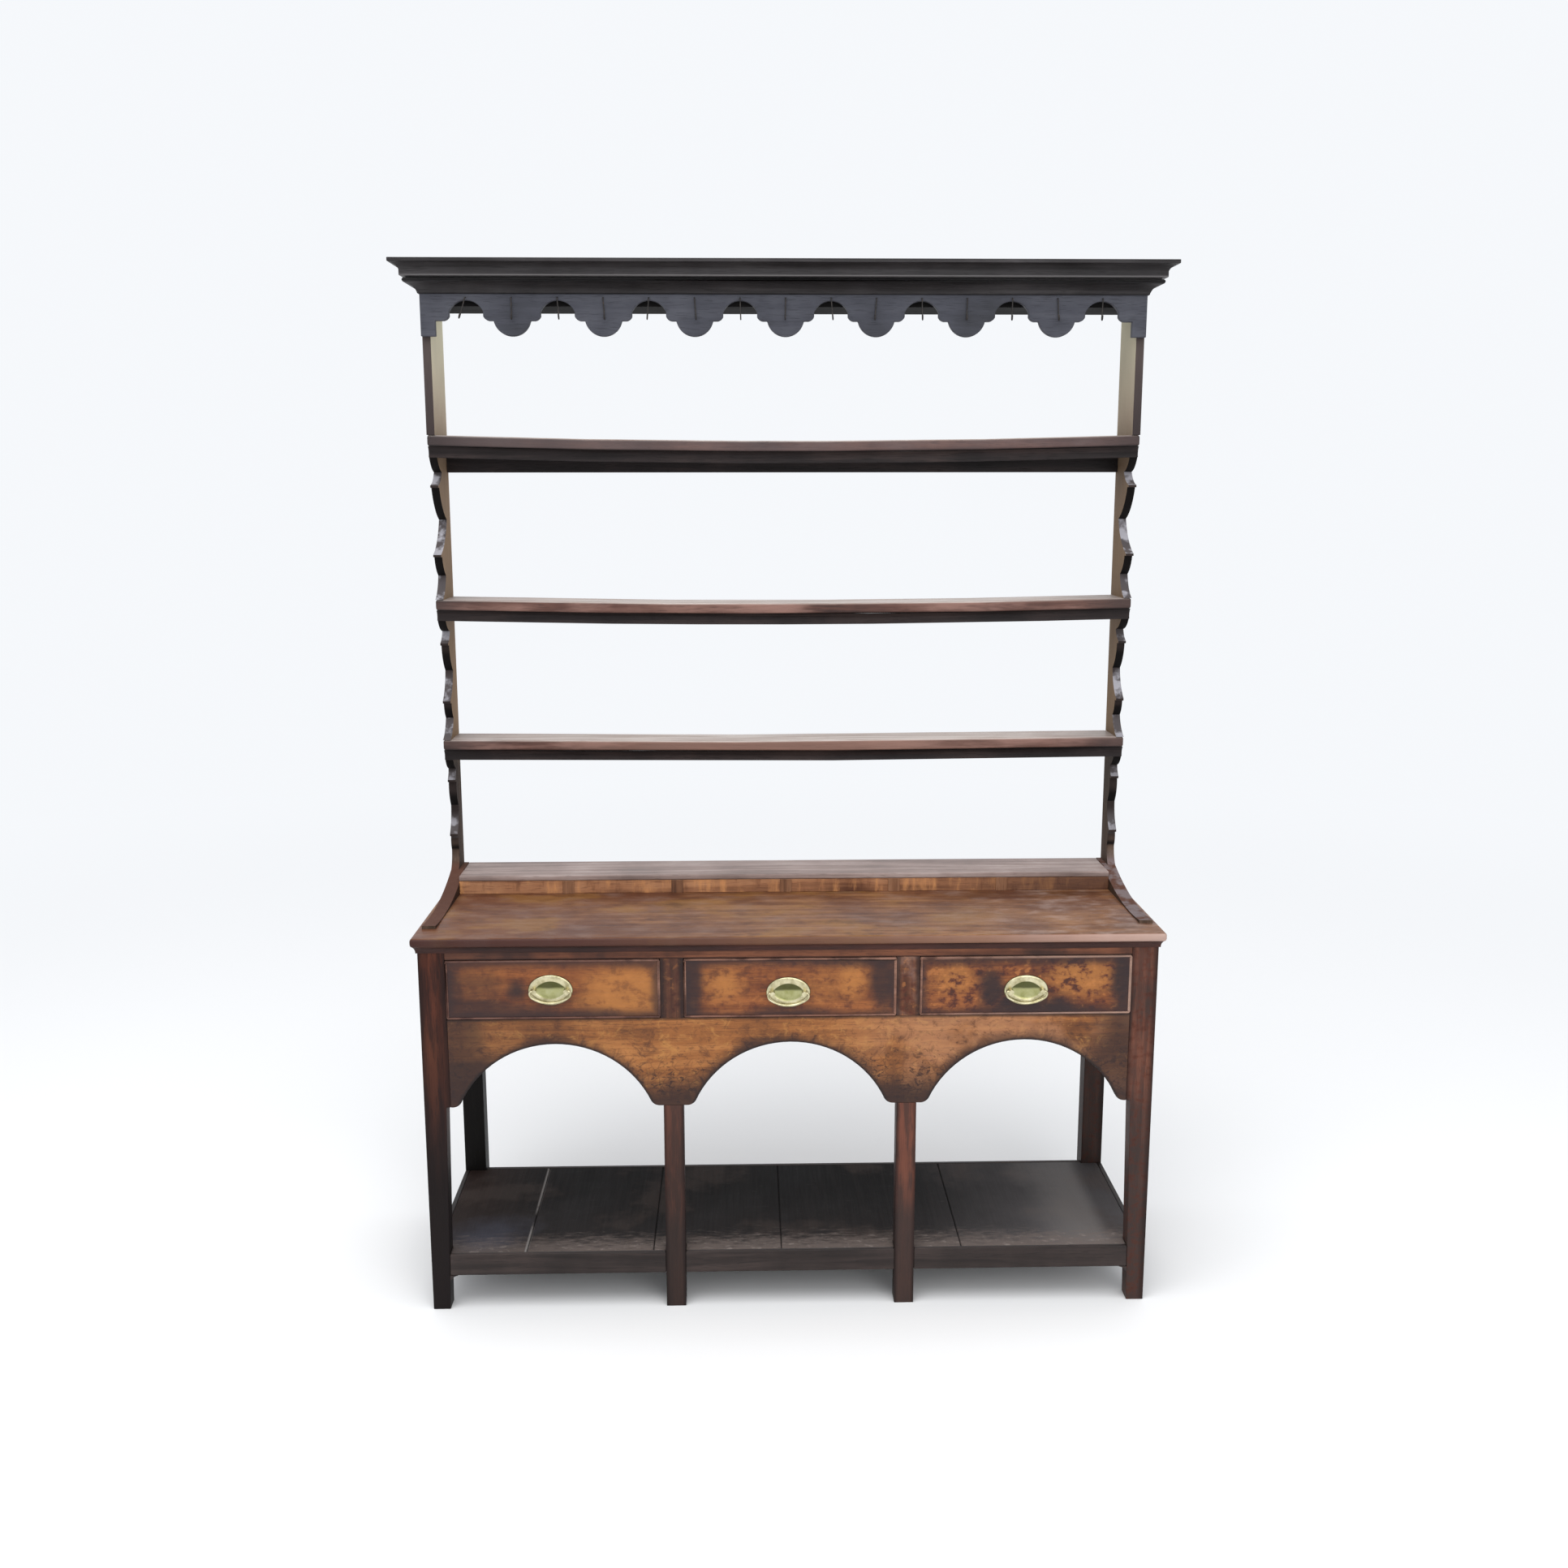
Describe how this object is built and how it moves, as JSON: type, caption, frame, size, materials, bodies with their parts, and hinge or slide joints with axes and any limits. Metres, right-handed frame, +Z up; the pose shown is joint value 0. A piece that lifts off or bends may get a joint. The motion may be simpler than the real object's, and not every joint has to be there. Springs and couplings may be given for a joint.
{
  "type": "welsh dresser",
  "caption": "Oak dresser: drawers with oval brass bail handles over an arched apron and potboard, under an open plate rack with scalloped sides, hooks, frieze and cornice.",
  "frame": {"origin": "on the floor, under the middle of the dresser's box", "axes": "+Z up, the front with the drawers faces -Y, +X to the right of someone facing the front"},
  "size_m": [1.608, 0.48, 2.157],
  "materials": {
    "oak_grey": "old dark wax gone grey",
    "oak_rack": "dark waxed oak, dry and greyed in places",
    "oak_base": "polished dark red-brown oak",
    "oak_drawer": "polished orange-brown oak with smoky edges",
    "oak_apron": "polished ochre oak with dark arch edges",
    "oak_top": "worn waxed oak",
    "oak_potboard": "blackened oak, scuffed at the front",
    "oak_bead": "thin polished oak bead",
    "pine": "dry unfinished wood",
    "brass": "aged polished brass",
    "iron": "blackened iron wire"
  },
  "bodies": {
    "case": {"apron": "oak_apron", "base_back": "oak_base", "base_top": "oak_top", "base_top_moulding": "oak_base", "cornice": "oak_grey", "drawer_divider_left": "oak_base", "drawer_divider_right": "oak_base", "drawer_guides": "pine", "drawer_runners": "pine", "dust_board": "oak_grey", "end_panel_left": "oak_base", "end_panel_right": "oak_base", "frieze": "oak_grey", "leg_back_left": "oak_base", "leg_back_right": "oak_base", "leg_front_left": "oak_base", "leg_front_right": "oak_base", "leg_inner_left": "oak_base", "leg_inner_right": "oak_base", "plate_hooks": "iron", "potboard_back_rail": "oak_potboard", "potboard_boards": "oak_potboard", "potboard_end_rails": "oak_potboard", "potboard_front_rails": "oak_potboard", "rack_side_left": "oak_rack", "rack_side_right": "oak_rack", "rail_brackets": "oak_potboard", "shelf_back_rail": "oak_rack", "shelf_bottom": "oak_rack", "shelf_middle": "oak_rack", "shelf_mouldings": "oak_rack", "shelf_top": "oak_rack", "top_rail": "oak_base", "upstand_dividers": "oak_top", "upstand_front": "oak_top", "upstand_top": "oak_top"},
    "drawer_left": {"drawer_left_back": "pine", "drawer_left_bottom": "pine", "drawer_left_cock_bead": "oak_bead", "drawer_left_front": "oak_drawer", "drawer_left_handle_plate": "brass", "drawer_left_handle_posts": "brass", "drawer_left_sides": "pine"},
    "bail_left": {"drawer_left_bail": "brass"},
    "drawer_middle": {"drawer_middle_back": "pine", "drawer_middle_bottom": "pine", "drawer_middle_cock_bead": "oak_bead", "drawer_middle_front": "oak_drawer", "drawer_middle_handle_plate": "brass", "drawer_middle_handle_posts": "brass", "drawer_middle_sides": "pine"},
    "bail_middle": {"drawer_middle_bail": "brass"},
    "drawer_right": {"drawer_right_back": "pine", "drawer_right_bottom": "pine", "drawer_right_cock_bead": "oak_bead", "drawer_right_front": "oak_drawer", "drawer_right_handle_plate": "brass", "drawer_right_handle_posts": "brass", "drawer_right_sides": "pine"},
    "bail_right": {"drawer_right_bail": "brass"}
  },
  "joints": [
    {"name": "drawer_left_slide", "type": "slide", "parent": "case", "child": "drawer_left", "axis": [0, -1, 0], "range_m": [0, 0.3]},
    {"name": "drawer_middle_slide", "type": "slide", "parent": "case", "child": "drawer_middle", "axis": [0, -1, 0], "range_m": [0, 0.3]},
    {"name": "drawer_right_slide", "type": "slide", "parent": "case", "child": "drawer_right", "axis": [0, -1, 0], "range_m": [0, 0.3]},
    {"name": "bail_left_swing", "type": "hinge", "parent": "drawer_left", "child": "bail_left", "pos_m": [-0.48633, -0.2306, 0.701], "axis": [-1, 0, 0], "range_deg": [0, 90]},
    {"name": "bail_middle_swing", "type": "hinge", "parent": "drawer_middle", "child": "bail_middle", "pos_m": [-0.004, -0.2306, 0.692], "axis": [-1, 0, 0], "range_deg": [0, 90]},
    {"name": "bail_right_swing", "type": "hinge", "parent": "drawer_right", "child": "bail_right", "pos_m": [0.48233, -0.2306, 0.692], "axis": [-1, 0, 0], "range_deg": [0, 90]}
  ]
}
